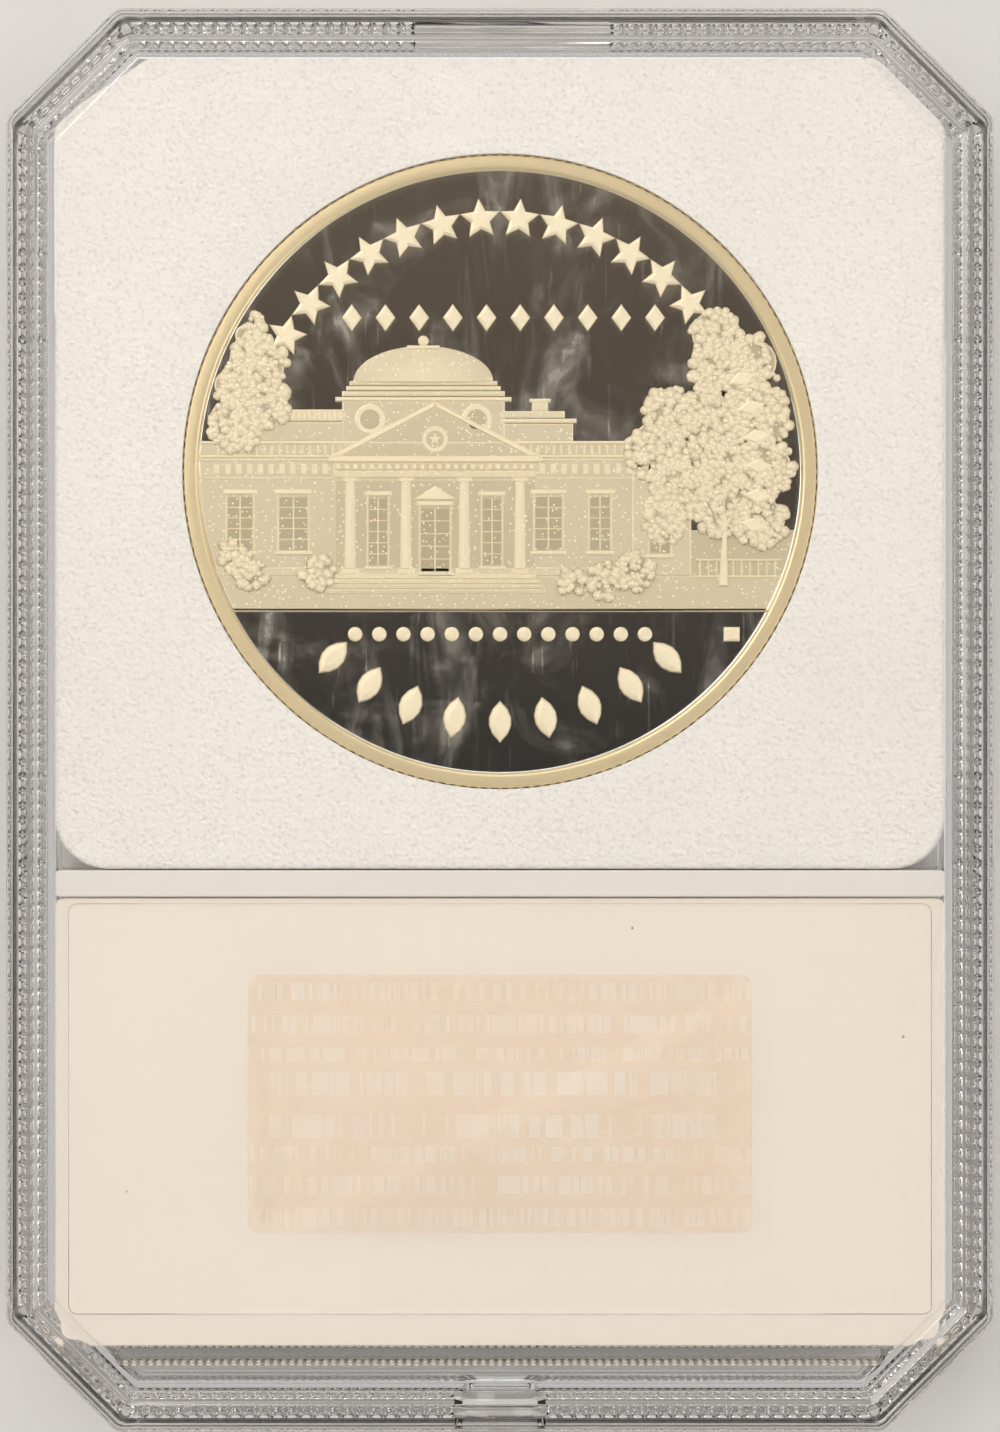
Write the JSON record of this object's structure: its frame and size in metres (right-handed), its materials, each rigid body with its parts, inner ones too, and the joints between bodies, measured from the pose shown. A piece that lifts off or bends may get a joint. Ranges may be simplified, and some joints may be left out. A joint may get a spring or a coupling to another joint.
{
  "type": "graded coin slab",
  "caption": "Clear rigid coin holder with cut corners and stacking rims, holding a reeded coin in a foam insert above a label card, with a seal on its back; its halves lift apart.",
  "frame": {"origin": "centre of the front stacking rim, on the plane that the slab rests on when it lies on its front", "axes": "+Z is the outward normal of the back face, +Y points to the coin end and -Y to the label end, +X is to the right when the back is seen with the coin end up"},
  "size_m": [0.059, 0.085, 0.0084],
  "materials": {
    "clear_plastic": "clear injection-moulded polystyrene, polished windows, knurled rims",
    "white_foam": "fine closed-cell white foam",
    "coin_silver": "proof silver, mirror fields and frosted devices, faint golden tone",
    "printed_card": "thin card with a plain printed border and bars",
    "cream_card": "smooth cream card stock",
    "seal_film": "thin pinkish film with a faint lighter pattern"
  },
  "bodies": {
    "front_half": {"front_shell": "clear_plastic"},
    "label": {"label_card": "printed_card", "label_backing": "cream_card"},
    "insert": {"coin_insert": "white_foam"},
    "coin": {"coin": "coin_silver"},
    "back_half": {"back_shell": "clear_plastic", "security_seal": "seal_film"}
  },
  "joints": [
    {"name": "label_lift", "type": "slide", "parent": "front_half", "child": "label", "axis": [0, 0, 1], "range_m": [0, 0.003]},
    {"name": "insert_lift", "type": "slide", "parent": "label", "child": "insert", "axis": [0, 0, 1], "range_m": [0, 0.004]},
    {"name": "coin_lift", "type": "slide", "parent": "insert", "child": "coin", "axis": [0, 0, 1], "range_m": [0, 0.004]},
    {"name": "back_lift", "type": "slide", "parent": "coin", "child": "back_half", "axis": [0, 0, 1], "range_m": [0, 0.006]}
  ]
}
